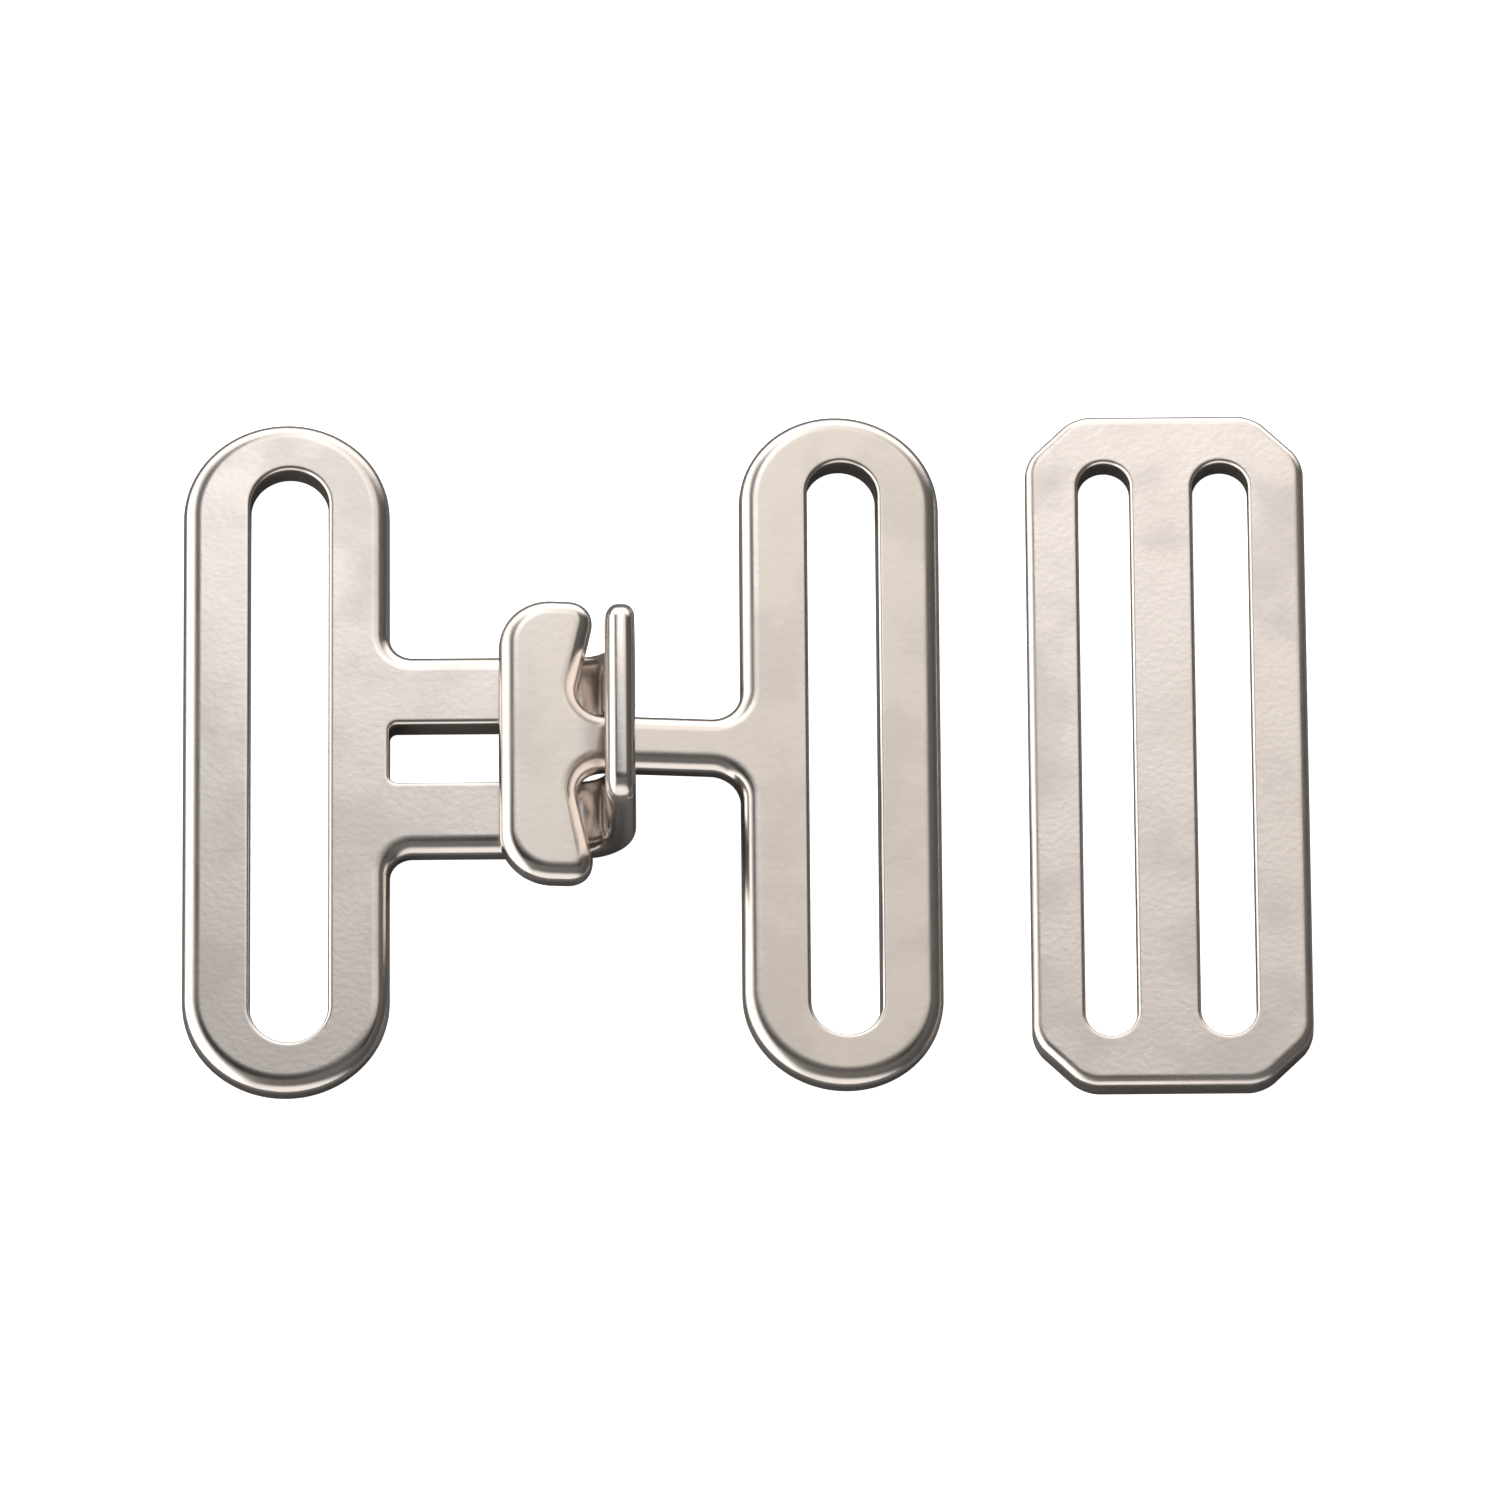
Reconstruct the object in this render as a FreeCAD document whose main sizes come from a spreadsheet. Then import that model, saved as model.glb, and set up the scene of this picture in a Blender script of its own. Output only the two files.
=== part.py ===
import os
import re
from math import pi

import FreeCAD
import Part
import Sketcher
from FreeCAD import Vector

# Three stamped steel pieces that close a 50 mm webbing strap, as they lie on a table:
# a receiver with a standing slotted arch, a T-hook whose neck passes through that slot,
# and a three-bar slider. +Z is up, X runs along the strap, the webbing is 50 mm wide in Y.
# The origin is on the table, under the middle of the row.

SIZES = [
    # name, value in mm, what it is
    ("plate", 2.4, "sheet thickness of all three pieces"),
    ("slot_length", 50.4, "length of every webbing slot: 50 mm webbing with 0.4 mm to spare"),
    ("edge_round", 1.0, "rounding of the outer edges after tumbling"),
    ("slot_edge_round", 0.35, "rounding of the slot and window edges"),
    ("receiver_slot", 6.2, "width of the receiver's webbing slot"),
    ("receiver_outer_rail", 5.4, "bar beside that slot, on the free side"),
    ("receiver_inner_rail", 4.9, "bar beside that slot, on the legs' side"),
    ("receiver_end", 4.3, "material beyond each end of that slot"),
    ("strip_width", 17.4, "width over the two legs and the arch"),
    ("leg_length", 17.2, "from the frame's edge to the arch's inner face"),
    ("strip_fillet", 1.8, "fillet where a leg leaves the frame"),
    ("arch_rise", 10.4, "height of the arch above the legs' top face"),
    ("arch_crosspiece", 3.5, "material above the arch's slot"),
    ("arch_corner", 2.0, "radius of the arch's top corners"),
    ("bend_inner", 2.0, "inner radius of the square bend"),
    ("window_corner", 0.6, "corner radius of the window"),
    ("neck_width", 4.7, "width of the T-hook's neck"),
    ("neck_clearance", 0.2, "gap on each side of the neck in the arch's slot"),
    ("hook_slot", 5.6, "width of the T-hook's webbing slot"),
    ("hook_inner_rail", 5.4, "bar beside that slot, on the neck's side"),
    ("hook_outer_rail", 5.0, "bar beside that slot, on the far side"),
    ("hook_end", 4.3, "material beyond each end of that slot"),
    ("head_span", 24.7, "width over the two claws"),
    ("head_web", 6.25, "from the head's blunt side to the bottom of the notches"),
    ("head_corner", 4.2, "radius of the head's blunt corners"),
    ("claw_tip", 2.0, "radius at the claw tips"),
    ("flank_lean", 12.5, "lean of the claws' inner flanks, in degrees from Y"),
    ("notch_round", 2.2, "radius at the bottom of a notch"),
    ("neck_length", 11.85, "from the claw tips to the T-hook's frame"),
    ("neck_fillet", 2.4, "fillet where the neck meets the frame"),
    ("head_lead", 1.15, "from the claw tips to the arch's inner face, as it lies"),
    ("lie_gap", 0.1, "gap between the head and the legs that it lies on"),
    ("slider_slot_a", 4.1, "width of the slider's slot nearer the T-hook"),
    ("slider_slot_b", 4.4, "width of the slider's other slot"),
    ("slider_near_rail", 4.25, "width of the slider's outer bar nearer the T-hook"),
    ("slider_far_rail", 4.5, "width of the slider's other outer bar"),
    ("slider_bar", 5.05, "width of the slider's middle bar"),
    ("slider_end", 4.3, "material beyond each end of the slider's slots"),
    ("slider_cut", 4.0, "length of the cut corners along each side"),
    ("slider_cut_round", 3.0, "rounding where a cut corner meets a side"),
    ("slider_edge_round", 0.7, "rounding of the slider's outer edges"),
    ("slider_gap", 6.95, "space between the T-hook and the slider on the table"),
]

# Sizes that follow from the ones above, each from the same sheet.
WORKED_OUT = [
    ("receiver_width", "receiver_outer_rail + receiver_slot + receiver_inner_rail"),
    ("receiver_height", "slot_length + 2 * receiver_end"),
    ("window_width", "neck_width + 2 * neck_clearance"),
    ("arch_top", "plate + arch_rise"),
    ("window_top", "arch_top - arch_crosspiece"),
    ("strip_end", "receiver_width + leg_length + plate"),
    ("bend_start", "receiver_width + leg_length - bend_inner"),
    ("hook_frame_width", "hook_inner_rail + hook_slot + hook_outer_rail"),
    ("hook_frame_height", "slot_length + 2 * hook_end"),
    ("notch_centre_x", "head_web + notch_round"),
    ("notch_centre_y", "neck_width / 2 + notch_round"),
    ("flank_slope", "tan( flank_lean )"),
    ("flank_shift", "notch_centre_x - notch_round / cos( flank_lean )"),
    ("flank_root", "flank_shift - notch_round * flank_slope"),
    ("flank_top", "flank_shift + ( head_span / 2 - notch_centre_y ) * flank_slope"),
    ("seat_point", "flank_shift + ( strip_width / 2 - notch_centre_y ) * flank_slope"),
    ("head_reach", "flank_top - claw_tip * ( flank_slope + 1 / cos( flank_lean ) - 1 )"),
    ("hook_frame_start", "head_reach + neck_length"),
    ("hook_length", "hook_frame_start + hook_frame_width"),
    ("hook_pitch", "asin( ( plate + lie_gap ) / ( hook_length - edge_round - seat_point ) )"),
    ("slider_width", "slider_near_rail + slider_slot_a + slider_bar + slider_slot_b + slider_far_rail"),
    ("slider_height", "slot_length + 2 * slider_end"),
    ("hook_start", "receiver_width + leg_length - head_lead - head_reach"),
    ("row_length", "hook_start + hook_length + slider_gap + slider_width"),
]

REFERENCES = {row[0]: "Sizes." + row[0] for row in SIZES + WORKED_OUT}
UP = Vector(0, 0, 1)
ALONG = Vector(1, 0, 0)
NEAR = 0.01                 # mm; closer than this counts as touching a formula's value
PARALLEL = 0.999            # cosine of the angle below which an edge counts as parallel

doc = FreeCAD.newDocument("surcingle_buckle")
sheet = doc.addObject("Spreadsheet::Sheet", "Sizes")


def fill_sheet():
    """Write each driving size and each size that follows from them into the sheet."""
    rows = [(name, str(value)) for name, value, meaning in SIZES]
    rows += [(name, "=" + formula) for name, formula in WORKED_OUT]
    for row, (name, content) in enumerate(rows, start=1):
        cell = "A%d" % row
        sheet.set(cell, content)
        sheet.setAlias(cell, name)
        doc.recompute()


def bound(formula):
    """Turn the sheet's names in a formula into references that an expression can follow."""
    return re.sub("[a-z_]+", lambda word: REFERENCES.get(word.group(), word.group()), formula)


def size(formula):
    """The present value of a formula in millimetres."""
    return float(sheet.evalExpression(bound(formula)))


def new_body(label):
    body = doc.addObject("PartDesign::Body", label)
    body.Label = label
    return body


def new_sketch(body, name, plane_role="XY_Plane"):
    """A sketch on one of the body's own origin planes."""
    sketch = body.newObject("Sketcher::SketchObject", name)
    planes = [item for item in body.Origin.OriginFeatures if item.Role == plane_role]
    sketch.AttachmentSupport = (planes[0], "")
    sketch.MapMode = "FlatFace"
    return sketch


def bind(sketch, constraint, name, formula):
    """Add a dimension to a sketch, named and bound to the sheet."""
    index = sketch.addConstraint(constraint)
    sketch.renameConstraint(index, name)
    sketch.setExpression("Constraints." + name, bound(formula))


def pin_point(sketch, geometry, end, x_formula, y_formula, name):
    """Hold one end of a sketch line at two formulas, measured from the origin."""
    across = Sketcher.Constraint("DistanceX", -1, 1, geometry, end, size(x_formula))
    bind(sketch, across, name + "_x", x_formula)
    upward = Sketcher.Constraint("DistanceY", -1, 1, geometry, end, size(y_formula))
    bind(sketch, upward, name + "_y", y_formula)


def draw_polygon(sketch, corners):
    """Closed straight outline through corners given as pairs of formulas."""
    points = [Vector(size(x_formula), size(y_formula), 0) for x_formula, y_formula in corners]
    first = sketch.GeometryCount
    count = len(points)
    for index in range(count):
        sketch.addGeometry(Part.LineSegment(points[index], points[(index + 1) % count]), False)
    for index in range(count):
        follower = first + (index + 1) % count
        sketch.addConstraint(Sketcher.Constraint("Coincident", first + index, 2, follower, 1))
    for index, (x_formula, y_formula) in enumerate(corners):
        pin_point(sketch, first + index, 1, x_formula, y_formula, "p%d" % (first + index))


def draw_stadium(sketch, centre_formula, width_formula, height_formula):
    """Round-ended slot shape that stands along Y, centred on the X axis of the sketch."""
    centre = size(centre_formula)
    radius = size(width_formula) / 2
    reach = size(height_formula) / 2 - radius
    first = sketch.GeometryCount
    top = Part.Circle(Vector(centre, reach, 0), UP, radius)
    bottom = Part.Circle(Vector(centre, -reach, 0), UP, radius)
    sketch.addGeometry(Part.ArcOfCircle(top, 0, pi), False)
    sketch.addGeometry(
        Part.LineSegment(Vector(centre - radius, reach, 0), Vector(centre - radius, -reach, 0)), False)
    sketch.addGeometry(Part.ArcOfCircle(bottom, pi, 2 * pi), False)
    sketch.addGeometry(
        Part.LineSegment(Vector(centre + radius, -reach, 0), Vector(centre + radius, reach, 0)), False)
    for index in range(4):
        follower = first + (index + 1) % 4
        sketch.addConstraint(Sketcher.Constraint("Tangent", first + index, 2, follower, 1))
    sketch.addConstraint(Sketcher.Constraint("Vertical", first + 1))
    sketch.addConstraint(Sketcher.Constraint("Equal", first, first + 2))
    name = "stadium%d" % first
    bind(sketch, Sketcher.Constraint("Radius", first, radius), name + "_radius",
         "( " + width_formula + " ) / 2")
    lift = "( " + height_formula + " ) / 2 - ( " + width_formula + " ) / 2"
    pin_point(sketch, first, 3, centre_formula, lift, name + "_top")
    drop = Sketcher.Constraint("DistanceY", -1, 1, first + 2, 3, -reach)
    bind(sketch, drop, name + "_bottom_y", "-1 * ( " + lift + " )")


def settle(body, feature):
    """Make a feature the body's tip and stop at once if it did not come out."""
    body.Tip = feature
    doc.recompute()
    if "Invalid" in feature.State or feature.Shape.isNull():
        raise RuntimeError(feature.Name + " failed")


def pad(body, sketch, name, length_formula):
    feature = body.newObject("PartDesign::Pad", name)
    feature.Profile = sketch
    feature.Length = size(length_formula)
    feature.setExpression("Length", bound(length_formula))
    settle(body, feature)
    return feature


def pocket(body, sketch, name, depth_formula):
    """Cut upward from the sketch on the underside, and prove that something was cut."""
    before = body.Shape.Volume
    feature = body.newObject("PartDesign::Pocket", name)
    feature.Profile = sketch
    feature.Length = size(depth_formula)
    feature.setExpression("Length", bound(depth_formula))
    feature.Reversed = True
    settle(body, feature)
    if not body.Shape.Volume < before:
        raise RuntimeError(name + " cut nothing")


def straight_edges(shape, direction, test):
    """Names of the straight edges along a direction whose midpoint passes a test."""
    names = []
    for number, edge in enumerate(shape.Edges, start=1):
        if edge.Curve.TypeId != "Part::GeomLine":
            continue
        along = abs(edge.Curve.Direction.dot(direction))
        middle = edge.valueAt((edge.FirstParameter + edge.LastParameter) / 2)
        if along > PARALLEL and test(middle):
            names.append("Edge%d" % number)
    return names


def round_edges(body, name, radius_formula, edge_names=None):
    """Fillet the named edges, or every sharp edge when no names are given."""
    if edge_names is not None and not edge_names:
        raise RuntimeError(name + " found no edge")
    base = body.Tip
    feature = body.newObject("PartDesign::Fillet", name)
    feature.Base = (base, edge_names or ["Edge1"])
    feature.UseAllEdges = edge_names is None
    feature.Radius = size(radius_formula)
    feature.setExpression("Radius", bound(radius_formula))
    settle(body, feature)


def at(value, formula):
    """True when a coordinate lies at a formula's value."""
    return abs(value - size(formula)) < NEAR


def make_receiver():
    """Frame, two legs and a standing arch: one blank, bent once. x = 0 is the frame's outer side."""
    body = new_body("receiver_plate")
    frame = new_sketch(body, "receiver_frame_outline")
    draw_stadium(frame, "receiver_width / 2", "receiver_width", "receiver_height")
    pad(body, frame, "receiver_frame", "plate")

    legs = new_sketch(body, "legs_outline")
    root = "receiver_width - receiver_inner_rail / 2"
    draw_polygon(legs, [(root, "-1 * strip_width / 2"), ("bend_start", "-1 * strip_width / 2"),
                        ("bend_start", "strip_width / 2"), (root, "strip_width / 2")])
    pad(body, legs, "legs", "plate")

    profile = new_sketch(body, "bend_profile", "XZ_Plane")
    draw_bend_profile(profile)
    bend = pad(body, profile, "bend_and_arch", "strip_width")
    bend.SideType = "Symmetric"
    doc.recompute()

    leg_roots = straight_edges(body.Shape, UP, lambda point:
                               at(point.x, "receiver_width") and at(abs(point.y), "strip_width / 2"))
    round_edges(body, "leg_fillets", "strip_fillet", leg_roots)
    arch_corners = straight_edges(body.Shape, ALONG, lambda point: at(point.z, "arch_top"))
    round_edges(body, "arch_corners", "arch_corner", arch_corners)
    round_edges(body, "receiver_tumbled_edges", "edge_round")

    slot = new_sketch(body, "receiver_slot_outline")
    draw_stadium(slot, "receiver_outer_rail + receiver_slot / 2", "receiver_slot", "slot_length")
    pocket(body, slot, "receiver_webbing_slot", "plate")
    window = new_sketch(body, "window_outline")
    past_arch = "strip_end + plate"
    draw_polygon(window, [("receiver_width", "-1 * window_width / 2"),
                          (past_arch, "-1 * window_width / 2"),
                          (past_arch, "window_width / 2"), ("receiver_width", "window_width / 2")])
    pocket(body, window, "window", "window_top")

    corners = straight_edges(body.Shape, UP, lambda point:
                             at(point.x, "receiver_width") and at(abs(point.y), "window_width / 2"))
    corners += straight_edges(body.Shape, ALONG, lambda point: at(point.z, "window_top"))
    round_edges(body, "window_corners", "window_corner", corners)
    round_edges(body, "receiver_slot_edges", "slot_edge_round")
    return body


def draw_bend_profile(sketch):
    """Side view of the square bend and the standing arch, in X and Z."""
    start = size("bend_start")
    inner = size("bend_inner")
    thick = size("plate")
    centre = Vector(start, thick + inner, 0)
    outer_arc = Part.ArcOfCircle(Part.Circle(centre, UP, inner + thick), 1.5 * pi, 2 * pi)
    inner_arc = Part.ArcOfCircle(Part.Circle(centre, UP, inner), 1.5 * pi, 2 * pi)
    top = size("arch_top")
    outer = sketch.addGeometry(outer_arc, False)
    back = sketch.addGeometry(
        Part.LineSegment(Vector(start + inner + thick, thick + inner, 0),
                         Vector(start + inner + thick, top, 0)), False)
    crown = sketch.addGeometry(
        Part.LineSegment(Vector(start + inner + thick, top, 0), Vector(start + inner, top, 0)), False)
    front = sketch.addGeometry(
        Part.LineSegment(Vector(start + inner, top, 0), Vector(start + inner, thick + inner, 0)), False)
    inside = sketch.addGeometry(inner_arc, False)
    joint = sketch.addGeometry(
        Part.LineSegment(Vector(start, thick, 0), Vector(start, 0, 0)), False)
    sketch.addConstraint(Sketcher.Constraint("Tangent", outer, 2, back, 1))
    sketch.addConstraint(Sketcher.Constraint("Coincident", back, 2, crown, 1))
    sketch.addConstraint(Sketcher.Constraint("Coincident", crown, 2, front, 1))
    sketch.addConstraint(Sketcher.Constraint("Tangent", front, 2, inside, 2))
    sketch.addConstraint(Sketcher.Constraint("Coincident", inside, 1, joint, 1))
    sketch.addConstraint(Sketcher.Constraint("Coincident", joint, 2, outer, 1))
    sketch.addConstraint(Sketcher.Constraint("Coincident", outer, 3, inside, 3))
    sketch.addConstraint(Sketcher.Constraint("Vertical", back))
    sketch.addConstraint(Sketcher.Constraint("Vertical", joint))
    sketch.addConstraint(Sketcher.Constraint("Horizontal", crown))
    bind(sketch, Sketcher.Constraint("Radius", inside, inner), "inner_radius", "bend_inner")
    bind(sketch, Sketcher.Constraint("Radius", outer, inner + thick), "outer_radius", "bend_inner + plate")
    pin_point(sketch, outer, 3, "bend_start", "plate + bend_inner", "bend_centre")
    bind(sketch, Sketcher.Constraint("DistanceY", -1, 1, crown, 1, top), "arch_height", "arch_top")


def make_hook():
    """Anchor-shaped head, neck and frame: one flat blank. x = 0 is the head's blunt side."""
    body = new_body("t_hook_plate")
    frame = new_sketch(body, "hook_frame_outline")
    draw_stadium(frame, "hook_frame_start + hook_frame_width / 2", "hook_frame_width", "hook_frame_height")
    pad(body, frame, "hook_frame", "plate")

    # A claw's inner flank leans from its tip in to the neck, and the round where flank and
    # neck meet is the bottom of the notch. The rounded tip is what reaches head_reach.
    anchor = new_sketch(body, "anchor_outline")
    neck_end = "hook_frame_start + hook_inner_rail / 2"
    half = [("flank_top", "head_span / 2"), ("flank_root", "neck_width / 2"),
            (neck_end, "neck_width / 2")]
    other_half = [(x_formula, "-1 * " + y_formula) for x_formula, y_formula in reversed(half)]
    blunt = [("0", "-1 * head_span / 2"), ("0", "head_span / 2")]
    draw_polygon(anchor, blunt + half + other_half)
    pad(body, anchor, "anchor_and_neck", "plate")

    def upright(test):
        return straight_edges(body.Shape, UP, test)

    round_edges(body, "head_corners", "head_corner", upright(
        lambda point: abs(point.x) < NEAR and at(abs(point.y), "head_span / 2")))
    round_edges(body, "claw_tips", "claw_tip", upright(
        lambda point: at(point.x, "flank_top") and at(abs(point.y), "head_span / 2")))
    round_edges(body, "notch_bottoms", "notch_round", upright(
        lambda point: at(point.x, "flank_root") and at(abs(point.y), "neck_width / 2")))
    round_edges(body, "neck_fillets", "neck_fillet", upright(
        lambda point: at(point.x, "hook_frame_start") and at(abs(point.y), "neck_width / 2")))
    round_edges(body, "hook_tumbled_edges", "edge_round")

    slot = new_sketch(body, "hook_slot_outline")
    draw_stadium(slot, "hook_frame_start + hook_inner_rail + hook_slot / 2", "hook_slot", "slot_length")
    pocket(body, slot, "hook_webbing_slot", "plate")
    round_edges(body, "hook_slot_edges", "slot_edge_round")
    return body


def make_slider():
    """Flat plate with two webbing slots and cut corners. x = 0 is the side nearer the T-hook."""
    body = new_body("slider_plate")
    outline = new_sketch(body, "slider_outline")
    right = "slider_width"
    top = "slider_height / 2"
    shoulder = "( slider_height / 2 - slider_cut )"
    upper = [(right, shoulder), ("slider_width - slider_cut", top), ("slider_cut", top), ("0", shoulder)]
    lower = [(x_formula, "-1 * " + y_formula) for x_formula, y_formula in reversed(upper)]
    draw_polygon(outline, upper + lower)
    pad(body, outline, "slider_blank", "plate")
    round_edges(body, "cut_corner_rounds", "slider_cut_round",
                straight_edges(body.Shape, UP, lambda point: True))
    round_edges(body, "slider_tumbled_edges", "slider_edge_round")

    slots = new_sketch(body, "slider_slot_outlines")
    draw_stadium(slots, "slider_near_rail + slider_slot_a / 2", "slider_slot_a", "slot_length")
    draw_stadium(slots, "slider_width - slider_far_rail - slider_slot_b / 2", "slider_slot_b", "slot_length")
    pocket(body, slots, "slider_webbing_slots", "plate")
    round_edges(body, "slider_slot_edges", "slot_edge_round")
    return body


def place(body, x_formula, z_formula="0", pitch_formula="0"):
    """Lay a piece in the row: along X, up in Z, and pitched nose-up about Y."""
    body.Placement = FreeCAD.Placement(Vector(0, 0, 0), FreeCAD.Rotation(Vector(0, 1, 0), 1))
    body.setExpression("Placement.Base.x", bound(x_formula))
    body.setExpression("Placement.Base.z", bound(z_formula))
    body.setExpression("Placement.Rotation.Angle", bound(pitch_formula))
    doc.recompute()


def lay_out(receiver, hook, slider):
    """Row on the table: the head lies on the receiver's legs, the far rim on the table."""
    row_start = "-1 * row_length / 2"
    place(receiver, row_start)
    blunt_side = row_start + " + hook_start"
    rim_on_table = "( hook_length - edge_round ) * sin( hook_pitch ) + edge_round * ( 1 - cos( hook_pitch ) )"
    place(hook, blunt_side, rim_on_table, "hook_pitch")
    place(slider, "row_length / 2 - slider_width")


def check_and_write(bodies):
    """Refuse to write anything unless every object and every solid is sound."""
    for item in doc.Objects:
        if "Invalid" in item.State or "Error" in item.State:
            raise RuntimeError("%s is %s" % (item.Name, item.State))
    for body in bodies:
        if body.Shape.isNull() or not body.Shape.isValid() or len(body.Shape.Solids) != 1:
            raise RuntimeError(body.Label + " is not one sound solid")
    os.makedirs("parts", exist_ok=True)
    for body in bodies:
        body.Shape.exportStep(os.path.join("parts", body.Label + ".step"))
        box = body.Shape.BoundBox
        print("%-16s x %.2f..%.2f  y %.2f..%.2f  z %.2f..%.2f  volume %.1f" % (
            body.Label, box.XMin, box.XMax, box.YMin, box.YMax, box.ZMin, box.ZMax, body.Shape.Volume))


fill_sheet()
receiver_plate = make_receiver()
t_hook_plate = make_hook()
slider_plate = make_slider()
lay_out(receiver_plate, t_hook_plate, slider_plate)
check_and_write([receiver_plate, t_hook_plate, slider_plate])
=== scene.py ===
from math import asin, cos, pi, radians, sin, tan

import bmesh
import bpy
from mathutils import Matrix, Vector


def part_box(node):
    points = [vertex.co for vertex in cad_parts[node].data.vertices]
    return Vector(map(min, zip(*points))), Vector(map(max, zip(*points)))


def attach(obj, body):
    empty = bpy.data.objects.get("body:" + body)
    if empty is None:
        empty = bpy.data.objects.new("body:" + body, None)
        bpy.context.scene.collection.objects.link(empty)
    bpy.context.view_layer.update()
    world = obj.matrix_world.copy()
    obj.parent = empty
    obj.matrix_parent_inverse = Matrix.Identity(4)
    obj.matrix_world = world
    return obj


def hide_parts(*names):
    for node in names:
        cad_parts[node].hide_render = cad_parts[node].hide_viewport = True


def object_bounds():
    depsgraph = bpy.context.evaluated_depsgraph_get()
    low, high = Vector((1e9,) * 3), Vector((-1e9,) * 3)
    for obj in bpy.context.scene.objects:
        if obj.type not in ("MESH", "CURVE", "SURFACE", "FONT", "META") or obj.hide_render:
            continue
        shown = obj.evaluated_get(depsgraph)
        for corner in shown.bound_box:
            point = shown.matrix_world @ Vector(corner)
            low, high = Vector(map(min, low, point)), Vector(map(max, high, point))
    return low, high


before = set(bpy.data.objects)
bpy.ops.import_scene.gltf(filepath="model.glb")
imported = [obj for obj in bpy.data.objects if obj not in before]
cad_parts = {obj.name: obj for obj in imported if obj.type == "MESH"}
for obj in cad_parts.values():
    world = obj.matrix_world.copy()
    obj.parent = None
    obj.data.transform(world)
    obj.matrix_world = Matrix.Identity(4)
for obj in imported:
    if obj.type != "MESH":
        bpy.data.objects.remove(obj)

cad_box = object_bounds()

# Three stamped, tumbled and nickel-plated steel pieces that close a 50 mm webbing strap.
# Shapes are drawn in millimetres and turned into metres as each piece is finished.
MM = 0.001

PLATE = 2.4                 # sheet thickness
EDGE_TOP = (1.4, 1.0)      # outer edge on top, softened by stamping and tumbling: how far in, how far down
EDGE_UNDER = (1.0, 0.9)     # outer edge underneath
SLOT_EDGE = (0.35, 0.35)    # slot and window edges
SLIDER_TOP = (0.8, 0.6)     # the slider's outer edge is sharper, on top and underneath
SLIDER_UNDER = (0.5, 0.45)
RIM_ON_TABLE = 1.0          # the T-hook's far rim touches the table this far in
SLOT_LENGTH = 50.4          # 50 mm webbing with 0.4 mm to spare

RECEIVER_SLOT = 6.2
RECEIVER_OUTER_RAIL = 5.4
RECEIVER_INNER_RAIL = 4.9
RECEIVER_END = 4.3
STRIP_WIDTH = 17.4          # over the two legs and the arch
LEG_LENGTH = 17.2           # frame's edge to the arch's inner face
STRIP_FILLET = 1.8
ARCH_CROSSPIECE = 3.5
ARCH_CORNER = 2.0
BEND_INNER = 2.0
WINDOW_CORNER = 0.6
WINDOW_WIDTH = 5.1

HOOK_SLOT = 5.6
HOOK_INNER_RAIL = 5.4
HOOK_OUTER_RAIL = 5.0
HOOK_END = 4.3
HEAD_SPAN = 24.7
HEAD_WEB = 6.25             # blunt side to the bottom of the notches
HEAD_CORNER = 4.2
FLANK_LEAN = radians(12.5)  # lean of the claws' inner flanks
CLAW_TIP = 2.0
NOTCH_ROUND = 2.2
NECK_WIDTH = 4.7
NECK_LENGTH = 11.85
NECK_FILLET = 2.4
LIE_GAP = 0.1               # head above the legs it lies on

SLIDER_SLOT_A = 4.1
SLIDER_SLOT_B = 4.4
SLIDER_NEAR_RAIL = 4.25
SLIDER_FAR_RAIL = 4.5
SLIDER_BAR = 5.05
SLIDER_END = 4.3
SLIDER_CUT = 4.0
SLIDER_CUT_ROUND = 3.0

ROUND_STEPS = 7             # bands in each rounded edge
BEND_STEPS = 24             # bands round the arch's bend
BASE_ARC_STEPS = 4          # segments in a rounded corner of an outline, whatever its length
ARC_STEPS_PER_MM = 2.2      # and how many more it gets along its arc
LEAST_ARC_STEPS = 6
FACING_UP = 0.9             # a face's normal at least this much along Z belongs to a flat side
SUPPORT = 0.12              # flat band beside a rounded edge, which keeps the big face flat
WELD = 0.0005               # points closer than this are one point


def place_on_table(node):
    """Left side, centre line and underside of a CAD node, in millimetres."""
    corner = Vector(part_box(node)[0]) / MM
    return Vector((corner.x, 0, corner.z))


def rounded_face(bm, corners, z):
    """Flat face through (x, y, radius) corners, each rounded with a tangent arc."""
    points = [Vector((x, y, z)) for x, y, radius in corners]
    face_verts = [bm.verts.new(point) for point in points]
    bm.faces.new(face_verts)
    count = len(points)
    for index, (x, y, radius) in enumerate(corners):
        before = (points[index - 1] - points[index]).normalized()
        after = (points[(index + 1) % count] - points[index]).normalized()
        half_angle = before.angle(after) / 2
        arc_length = radius * (pi - 2 * half_angle)
        arc_steps = max(LEAST_ARC_STEPS, round(BASE_ARC_STEPS + ARC_STEPS_PER_MM * arc_length))
        bmesh.ops.bevel(bm, geom=[face_verts[index]], offset=radius / tan(half_angle), offset_type="OFFSET",
                        affect="VERTICES", segments=arc_steps, profile=0.5, material=-1, clamp_overlap=False)
    bmesh.ops.remove_doubles(bm, verts=bm.verts, dist=WELD)
    return bm.faces[:]


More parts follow.
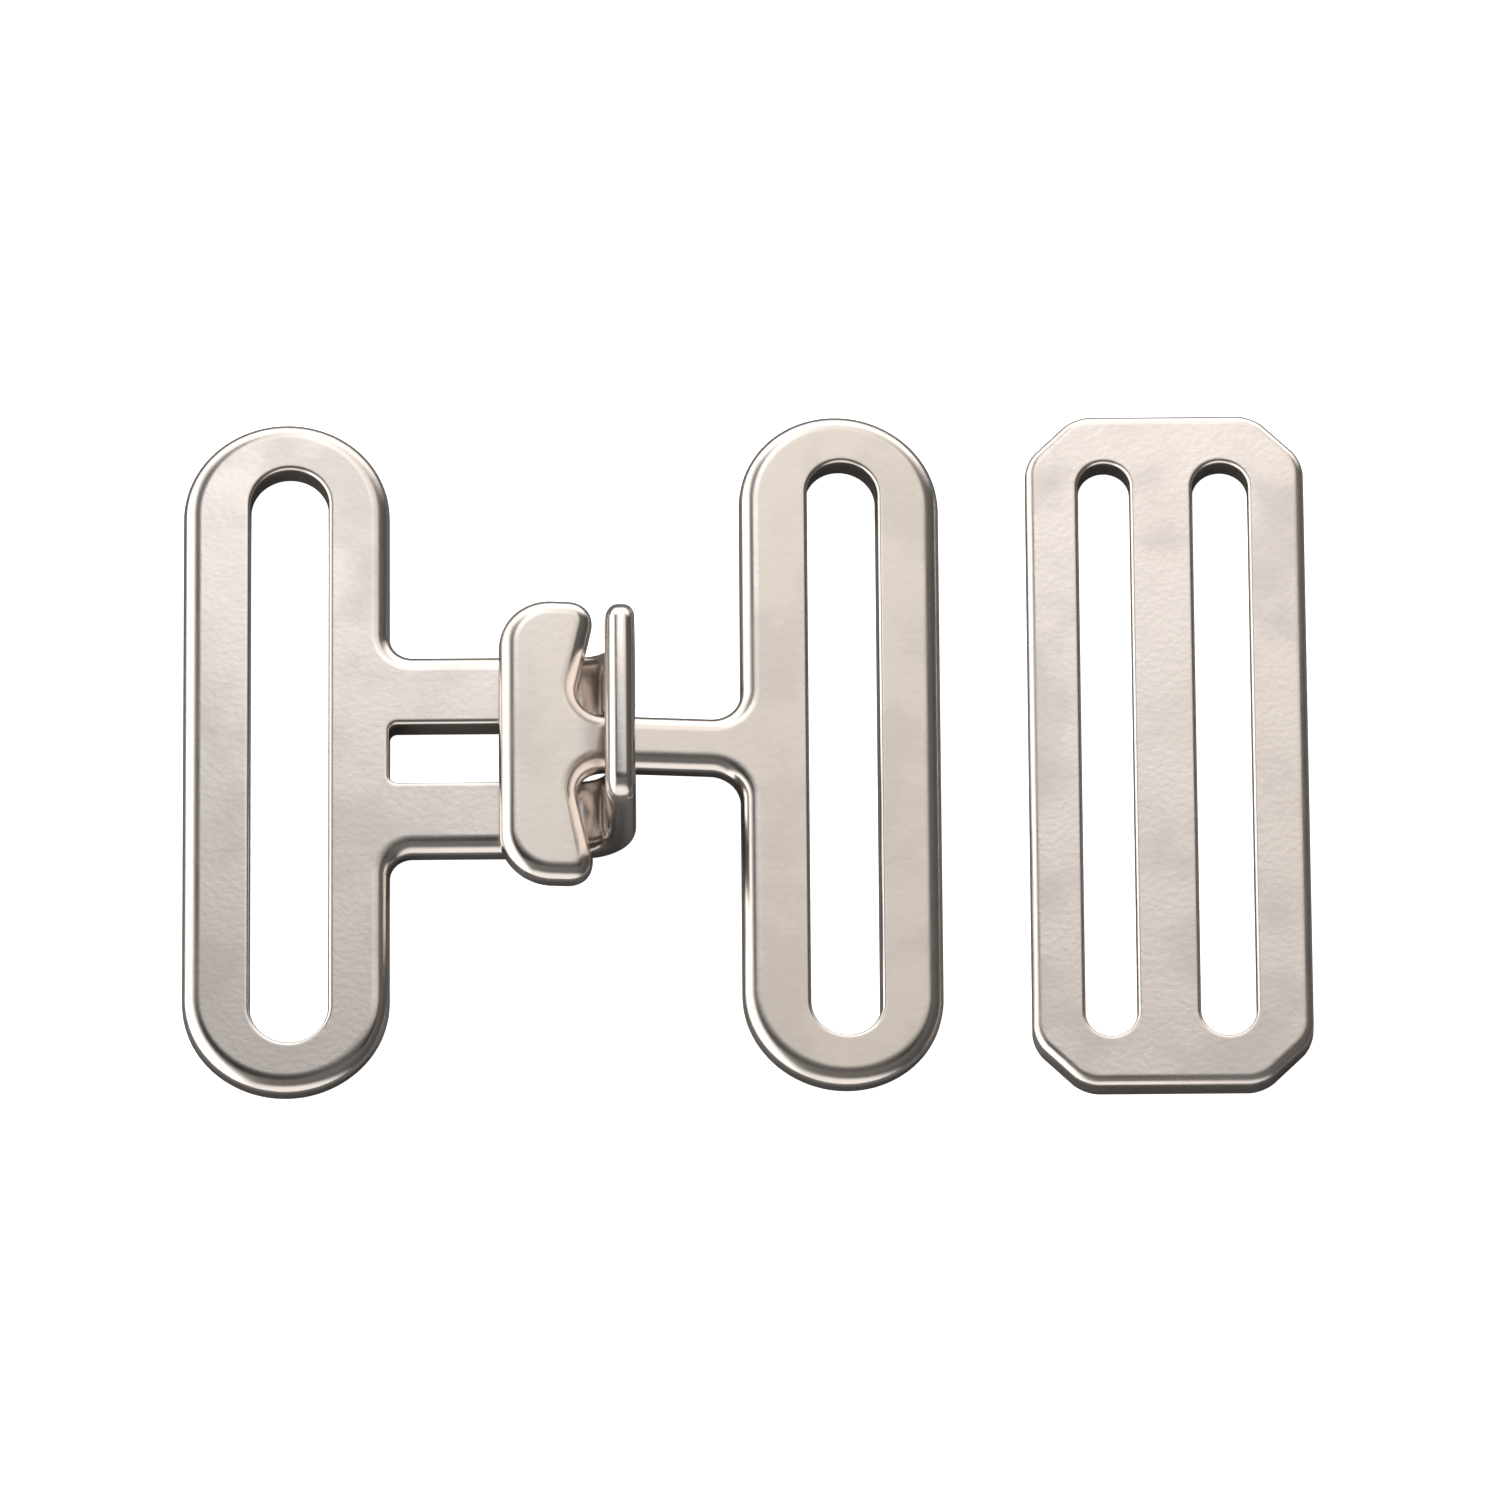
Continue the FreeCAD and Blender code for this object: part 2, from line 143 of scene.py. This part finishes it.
def rounded_rim(corners, top_edge, under_edge, outward):
    """Open wall round an outline, PLATE high, whose top and bottom edges are rounded.

    The rounding goes in towards the material: inwards for an outer edge, outwards for a slot.
    """
    bm = bmesh.new()
    face, = rounded_face(bm, corners, under_edge[1])
    if face.normal.z < 0:
        face.normal_flip()
    made = bmesh.ops.extrude_face_region(bm, geom=[face])
    lifted = [item for item in made["geom"] if isinstance(item, bmesh.types.BMVert)]
    bmesh.ops.translate(bm, verts=lifted, vec=(0, 0, PLATE - under_edge[1] - top_edge[1]))
    bmesh.ops.recalc_face_normals(bm, faces=bm.faces)
    caps = [cap for cap in bm.faces if abs(cap.normal.z) > FACING_UP]
    direction = -1 if outward else 1
    for cap in caps:
        across, down = top_edge if cap.normal.z > 0 else under_edge
        for step in range(ROUND_STEPS):
            start = pi / 2 * step / ROUND_STEPS
            end = pi / 2 * (step + 1) / ROUND_STEPS
            bmesh.ops.inset_region(bm, faces=[cap], use_even_offset=True,
                                   thickness=direction * across * (cos(start) - cos(end)),
                                   depth=down * (sin(end) - sin(start)))
        bmesh.ops.inset_region(bm, faces=[cap], use_even_offset=True, thickness=direction * SUPPORT, depth=0)
    bmesh.ops.delete(bm, geom=caps, context="FACES_ONLY")
    return bm


def stamped_plate(outline, top_edge, under_edge, holes):
    """Sheet with a rounded outline and rounded holes, lying on z = 0."""
    plate = rounded_rim(outline, top_edge, under_edge, outward=False)
    for hole in holes:
        wall = rounded_rim(hole, SLOT_EDGE, SLOT_EDGE, outward=True)
        mesh = bpy.data.meshes.new("hole_wall")
        wall.to_mesh(mesh)
        wall.free()
        plate.from_mesh(mesh)
        bpy.data.meshes.remove(mesh)
    for level in (0, PLATE):
        rim = [edge for edge in plate.edges if edge.is_boundary
               and all(abs(vert.co.z - level) < WELD for vert in edge.verts)]
        bmesh.ops.triangle_fill(plate, edges=rim, use_beauty=True, normal=(0, 0, 1))
    bmesh.ops.recalc_face_normals(plate, faces=plate.faces)
    return plate


def stadium(left, width, height):
    """Corners of a round-ended slot or frame that stands along Y."""
    radius = width / 2
    right = left + width
    return [(left, -height / 2, radius), (right, -height / 2, radius),
            (right, height / 2, radius), (left, height / 2, radius)]


def mirrored(half):
    """The corners of one half, then the same corners mirrored in the strap's centre line."""
    return half + [(x, -y, radius) for x, y, radius in reversed(half)]


def finish_piece(bm, name, body, node, material):
    """Turn a mesh in millimetres into a smooth piece in metres that stands for a CAD node."""
    bmesh.ops.scale(bm, vec=(MM, MM, MM), verts=bm.verts)
    mesh = bpy.data.meshes.new(name)
    bm.to_mesh(mesh)
    bm.free()
    mesh.polygons.foreach_set("use_smooth", [True] * len(mesh.polygons))
    mesh.materials.append(material)
    piece = bpy.data.objects.new(name, mesh)
    bpy.context.collection.objects.link(piece)
    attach(piece, body)
    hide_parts(node)
    return piece


def make_receiver(material):
    """One blank with a slot and a window, bent once up into the standing arch."""
    width = RECEIVER_OUTER_RAIL + RECEIVER_SLOT + RECEIVER_INNER_RAIL
    height = SLOT_LENGTH + 2 * RECEIVER_END
    bend_start = width + LEG_LENGTH - BEND_INNER
    middle_radius = BEND_INNER + PLATE / 2
    bend_length = middle_radius * pi / 2
    arch_top = (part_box("receiver_plate")[1][2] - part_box("receiver_plate")[0][2]) / MM
    wall_height = arch_top - PLATE - BEND_INNER
    blank_end = bend_start + bend_length + wall_height
    window_end = blank_end - ARCH_CROSSPIECE
    half = [(0, -height / 2, width / 2), (width, -height / 2, width / 2),
            (width, -STRIP_WIDTH / 2, STRIP_FILLET), (blank_end, -STRIP_WIDTH / 2, ARCH_CORNER)]
    window = [(width, -WINDOW_WIDTH / 2, WINDOW_CORNER), (window_end, -WINDOW_WIDTH / 2, WINDOW_CORNER)]
    blank = stamped_plate(mirrored(half), EDGE_TOP, EDGE_UNDER,
                          [stadium(RECEIVER_OUTER_RAIL, RECEIVER_SLOT, SLOT_LENGTH), mirrored(window)])

    for step in range(BEND_STEPS + 1):
        cut_at = bend_start + bend_length * step / BEND_STEPS
        geometry = blank.verts[:] + blank.edges[:] + blank.faces[:]
        bmesh.ops.bisect_plane(blank, geom=geometry, plane_co=(cut_at, 0, 0), plane_no=(1, 0, 0))
    pivot_height = PLATE + BEND_INNER
    for vert in blank.verts:
        along = vert.co.x - bend_start
        if along > 0:
            turn = min(along, bend_length) / middle_radius
            reach = pivot_height - vert.co.z
            beyond = max(0, along - bend_length)
            vert.co.x = bend_start + reach * sin(turn)
            vert.co.z = pivot_height - reach * cos(turn) + beyond
    bmesh.ops.translate(blank, verts=blank.verts, vec=place_on_table("receiver_plate"))
    return finish_piece(blank, "receiver", "receiver", "receiver_plate", material)


def make_hook(material):
    """Anchor-shaped head, neck and frame, one flat blank that lies pitched."""
    slope = tan(FLANK_LEAN)
    notch_y = NECK_WIDTH / 2 + NOTCH_ROUND
    flank_shift = HEAD_WEB + NOTCH_ROUND - NOTCH_ROUND / cos(FLANK_LEAN)
    flank_root = flank_shift - NOTCH_ROUND * slope
    flank_top = flank_shift + (HEAD_SPAN / 2 - notch_y) * slope
    seat = flank_shift + (STRIP_WIDTH / 2 - notch_y) * slope
    reach = flank_top - CLAW_TIP * (slope + 1 / cos(FLANK_LEAN) - 1)
    frame_start = reach + NECK_LENGTH
    frame_width = HOOK_INNER_RAIL + HOOK_SLOT + HOOK_OUTER_RAIL
    frame_end = frame_start + frame_width
    height = SLOT_LENGTH + 2 * HOOK_END
    half = [(0, -HEAD_SPAN / 2, HEAD_CORNER), (flank_top, -HEAD_SPAN / 2, CLAW_TIP),
            (flank_root, -NECK_WIDTH / 2, NOTCH_ROUND), (frame_start, -NECK_WIDTH / 2, NECK_FILLET),
            (frame_start, -height / 2, frame_width / 2), (frame_end, -height / 2, frame_width / 2)]
    plate = stamped_plate(mirrored(half), EDGE_TOP, EDGE_UNDER,
                          [stadium(frame_start + HOOK_INNER_RAIL, HOOK_SLOT, SLOT_LENGTH)])

    lowest_rim = frame_end - RIM_ON_TABLE
    pitch = asin((PLATE + LIE_GAP) / (lowest_rim - seat))
    bmesh.ops.rotate(plate, verts=plate.verts, cent=(0, 0, 0), matrix=Matrix.Rotation(pitch, 3, "Y"))
    rest = Vector((min(vert.co.x for vert in plate.verts), 0, min(vert.co.z for vert in plate.verts)))
    bmesh.ops.translate(plate, verts=plate.verts, vec=place_on_table("t_hook_plate") - rest)
    return finish_piece(plate, "t_hook", "t_hook", "t_hook_plate", material)


def make_slider(material):
    """Flat three-bar plate with two slots and cut corners."""
    width = SLIDER_NEAR_RAIL + SLIDER_SLOT_A + SLIDER_BAR + SLIDER_SLOT_B + SLIDER_FAR_RAIL
    top = SLOT_LENGTH / 2 + SLIDER_END
    half = [(0, -top + SLIDER_CUT, SLIDER_CUT_ROUND), (SLIDER_CUT, -top, SLIDER_CUT_ROUND),
            (width - SLIDER_CUT, -top, SLIDER_CUT_ROUND), (width, -top + SLIDER_CUT, SLIDER_CUT_ROUND)]
    slots = [stadium(SLIDER_NEAR_RAIL, SLIDER_SLOT_A, SLOT_LENGTH),
             stadium(width - SLIDER_FAR_RAIL - SLIDER_SLOT_B, SLIDER_SLOT_B, SLOT_LENGTH)]
    plate = stamped_plate(mirrored(half), SLIDER_TOP, SLIDER_UNDER, slots)
    bmesh.ops.translate(plate, verts=plate.verts, vec=place_on_table("slider_plate"))
    return finish_piece(plate, "slider", "slider", "slider_plate", material)


def linear(hex_colour):
    """sRGB hex to the linear colour that shaders use."""
    channels = [int(hex_colour[i:i + 2], 16) / 255 for i in (0, 2, 4)]
    return [c / 12.92 if c <= 0.04045 else ((c + 0.055) / 1.055) ** 2.4 for c in channels] + [1.0]


def add_node(tree, kind, settings=None, **inputs):
    """Add a shader node with its settings, and link or set each input, by name or as _ and its number."""
    node = tree.nodes.new(kind)
    for name, value in (settings or {}).items():
        setattr(node, name, value)
    for name, value in inputs.items():
        socket = node.inputs[int(name[1:])] if name[0] == "_" else node.inputs[name.replace("_", " ")]
        if isinstance(value, bpy.types.NodeSocket):
            tree.links.new(value, socket)
        else:
            socket.default_value = value
    return node


def smooth_step(tree, value, start, end, before, after):
    """Smooth change from the level before to the level after, as a value goes from start to end."""
    return add_node(tree, "ShaderNodeMapRange", {"interpolation_type": "SMOOTHSTEP"}, Value=value,
                    From_Min=start, From_Max=end, To_Min=before, To_Max=after).outputs["Result"]


def combine(tree, operation, first, second):
    return add_node(tree, "ShaderNodeMath", {"operation": operation}, _0=first, _1=second).outputs["Value"]


def mixed_colour(tree, share, first, second):
    """First colour where the share is 0, second where it is 1. Inputs 6 and 7 and output 2 are the colours."""
    mix = add_node(tree, "ShaderNodeMix", {"data_type": "RGBA"}, _0=share, _6=first, _7=second)
    return mix.outputs[2]


def nickel_plate(name, colour, dull_colour, roughness, grain_depth):
    """Nickel plate over tumbled steel: warm grey metal with a fine pebbled face and faint dull clouds.

    Painted shade darkens a piece's own inner bends to brown, where its surfaces close in.
    """
    material = bpy.data.materials.new(name)
    material.use_nodes = True
    tree = material.node_tree
    shader = tree.nodes["Principled BSDF"]
    place = add_node(tree, "ShaderNodeTexCoord").outputs["Object"]
    # Real tumbling marks are finer than this. They are drawn coarse enough to show.
    pebble_size = 0.5
    pebbles = add_node(tree, "ShaderNodeTexNoise", Vector=place, Scale=1 / (pebble_size * MM), Detail=3.0)
    cloud_size = 7.0
    clouds = add_node(tree, "ShaderNodeTexNoise", Vector=place, Scale=1 / (cloud_size * MM), Detail=4.0)
    cloud = clouds.outputs["Fac"]
    bump = add_node(tree, "ShaderNodeBump", Height=pebbles.outputs["Fac"], Strength=0.25,
                    Distance=grain_depth * MM)
    rough = smooth_step(tree, cloud, start=0.3, end=0.7, before=roughness * 0.85, after=roughness * 1.2)
    dullness = smooth_step(tree, cloud, start=0.45, end=0.65, before=0.0, after=1.0)
    face = mixed_colour(tree, dullness, linear(colour), linear(dull_colour))
    # Painted shade: the base colour turns brown where the piece's own surfaces close in within this distance.
    recess_size = 4.0
    painted_recess_shade = "5e4e42"
    openness = add_node(tree, "ShaderNodeAmbientOcclusion", {"only_local": True}, Distance=recess_size * MM)
    unshaded_share = smooth_step(tree, openness.outputs["AO"], start=0.45, end=0.92, before=0.0, after=1.0)
    tree.links.new(mixed_colour(tree, unshaded_share, linear(painted_recess_shade), face), shader.inputs["Base Color"])
    shader.inputs["Metallic"].default_value = 1.0
    tree.links.new(rough, shader.inputs["Roughness"])
    tree.links.new(bump.outputs["Normal"], shader.inputs["Normal"])
    return material


def flat_panel(name, half_size, material):
    """Square flat stage piece, facing up at the origin."""
    bm = bmesh.new()
    bmesh.ops.create_grid(bm, x_segments=1, y_segments=1, size=half_size)
    mesh = bpy.data.meshes.new(name)
    bm.to_mesh(mesh)
    bm.free()
    mesh.materials.append(material)
    panel = bpy.data.objects.new(name, mesh)
    bpy.context.collection.objects.link(panel)
    return panel


def paper(name, colour, glow):
    """Matt white paper, glow being how much light comes through it from a light table below."""
    material = bpy.data.materials.new(name)
    material.use_nodes = True
    shader = material.node_tree.nodes["Principled BSDF"]
    shader.inputs["Base Color"].default_value = linear(colour)
    shader.inputs["Roughness"].default_value = 1.0
    shader.inputs["Specular IOR Level"].default_value = 0.0
    shader.inputs["Emission Color"].default_value = linear("ffffff")
    shader.inputs["Emission Strength"].default_value = glow
    return material


def make_floor():
    """White table. The metal mirrors a grey card just below it, which holds the contact shade."""
    half_size = 3.0
    below = 0.02 * MM
    table_top = flat_panel("table_top", half_size, paper("white_paper_lit", "f5f5f5", glow=0.90))
    table_top.location.z = cad_box[0].z - below
    table_top.visible_glossy = False
    table_top.visible_diffuse = False
    table_top.visible_shadow = False
    under_sheet = flat_panel("under_sheet", half_size, paper("grey_card", "6a6a6a", glow=0.0))
    under_sheet.location.z = table_top.location.z - below
    under_sheet.visible_camera = False


def make_room():
    """Dark room with white walls low on the left, behind and in front, and a dim ceiling.

    Each wall starts and ends where one part of the unit direction passes the two places given.
    """
    world = bpy.data.worlds.new("studio")
    world.use_nodes = True
    tree = world.node_tree
    direction = add_node(tree, "ShaderNodeTexCoord").outputs["Generated"]
    parts = add_node(tree, "ShaderNodeSeparateXYZ", Vector=direction)
    right, back, up = (parts.outputs[axis] for axis in "XYZ")
    left_wall = smooth_step(tree, right, start=-0.62, end=-0.34, before=2.0, after=0.22)
    back_wall = smooth_step(tree, back, start=0.55, end=0.85, before=0.0, after=1.95)
    left_half = smooth_step(tree, right, start=-0.25, end=0.1, before=1.0, after=0.0)
    near_wall = smooth_step(tree, back, start=-0.85, end=-0.50, before=1.3, after=0.0)
    ceiling = smooth_step(tree, up, start=0.35, end=1.0, before=0.10, after=0.20)
    walls = combine(tree, "MAXIMUM", combine(tree, "MULTIPLY", left_wall, left_half), back_wall)
    walls = combine(tree, "MAXIMUM", walls, near_wall)
    background = tree.nodes["Background"]
    background.inputs["Color"].default_value = linear("fffdfa")
    tree.links.new(combine(tree, "MAXIMUM", walls, ceiling), background.inputs["Strength"])
    bpy.context.scene.world = world


def make_soft_box():
    """Cloth-fronted light above and behind: brighter at its far side, dim at its borders.

    Its near left corner is dimmer still. Places on the cloth are in metres from its middle.
    """
    cloth = bpy.data.materials.new("soft_box_cloth")
    cloth.use_nodes = True
    tree = cloth.node_tree
    tree.nodes.clear()
    place = add_node(tree, "ShaderNodeTexCoord").outputs["Object"]
    parts = add_node(tree, "ShaderNodeSeparateXYZ", Vector=place)
    across = parts.outputs["X"]
    along = parts.outputs["Y"]
    left_border = smooth_step(tree, across, start=-0.20, end=-0.13, before=0.1, after=1.0)
    right_border = smooth_step(tree, across, start=0.12, end=0.24, before=1.0, after=0.1)
    near_border = smooth_step(tree, along, start=-0.17, end=-0.032, before=0.15, after=1.0)
    near_left = smooth_step(tree, across, start=-0.10, end=-0.03, before=0.45, after=1.0)
    near_corner = smooth_step(tree, along, start=-0.044, end=-0.024, before=near_left, after=1.0)
    plain = smooth_step(tree, along, start=0.014, end=0.034, before=0.90, after=1.25)
    far_glow = smooth_step(tree, along, start=-0.006, end=0.020, before=0.0, after=0.60)
    left_side = smooth_step(tree, across, start=-0.03, end=0.01, before=1.0, after=0.0)
    far_left = combine(tree, "MULTIPLY", far_glow, left_side)
    borders = combine(tree, "MULTIPLY", combine(tree, "MULTIPLY", left_border, right_border), near_border)
    borders = combine(tree, "MULTIPLY", borders, near_corner)
    strength = combine(tree, "MULTIPLY", borders, combine(tree, "ADD", plain, far_left))
    warmth = smooth_step(tree, across, start=-0.02, end=0.03, before=0.0, after=1.0)
    tint = mixed_colour(tree, warmth, linear("ffffff"), linear("fffaf2"))
    emission = add_node(tree, "ShaderNodeEmission", Color=tint, Strength=strength)
    add_node(tree, "ShaderNodeOutputMaterial", Surface=emission.outputs["Emission"])
    half_size = 0.30
    soft_box = flat_panel("soft_box", half_size, cloth)
    soft_box.location = (0.07, 0.24, 0.50)
    soft_box.visible_camera = False


def make_key_light():
    """Low light from behind, which only the table shows: it throws the contact shade forwards."""
    lamp = bpy.data.lights.new("key_light", "AREA")
    lamp.shape = "SQUARE"
    lamp.size = 0.35
    lamp.energy = 10.0
    holder = bpy.data.objects.new("key_light", lamp)
    place = Vector((-0.04, 0.60, 0.52))
    holder.location = place
    holder.rotation_euler = (-place).to_track_quat("-Z", "Y").to_euler()
    holder.visible_glossy = False
    bpy.context.collection.objects.link(holder)


def make_camera():
    """Long lens from high in front, turned a little anticlockwise."""
    elevation = radians(64.5)
    lean = radians(0.45)
    distance = 1.75
    frame_across = 0.1195
    target = Vector((0.00036, 0.00055, 0.0012))
    lens = bpy.data.cameras.new("camera")
    lens.sensor_width = 36.0
    lens.lens = lens.sensor_width * distance / frame_across
    lens.clip_end = 20.0
    camera = bpy.data.objects.new("camera", lens)
    back = Vector((0, -cos(elevation), sin(elevation)))
    camera.location = target + back * distance
    turn = (-back).to_track_quat("-Z", "Y").to_matrix() @ Matrix.Rotation(-lean, 3, "Z")
    camera.rotation_euler = turn.to_euler()
    bpy.context.collection.objects.link(camera)
    bpy.context.scene.camera = camera


bright_nickel = nickel_plate("nickel_plate_tumbled_bright", "dad2cc", "d3cbc5",
                             roughness=0.20, grain_depth=0.02)
satin_nickel = nickel_plate("nickel_plate_satin", "dcd3cd", "d3cbc6",
                            roughness=0.26, grain_depth=0.04)
make_receiver(bright_nickel)
make_hook(bright_nickel)
make_slider(satin_nickel)
make_floor()
make_room()
make_soft_box()
make_key_light()
make_camera()
bpy.context.scene.view_settings.view_transform = "Standard"
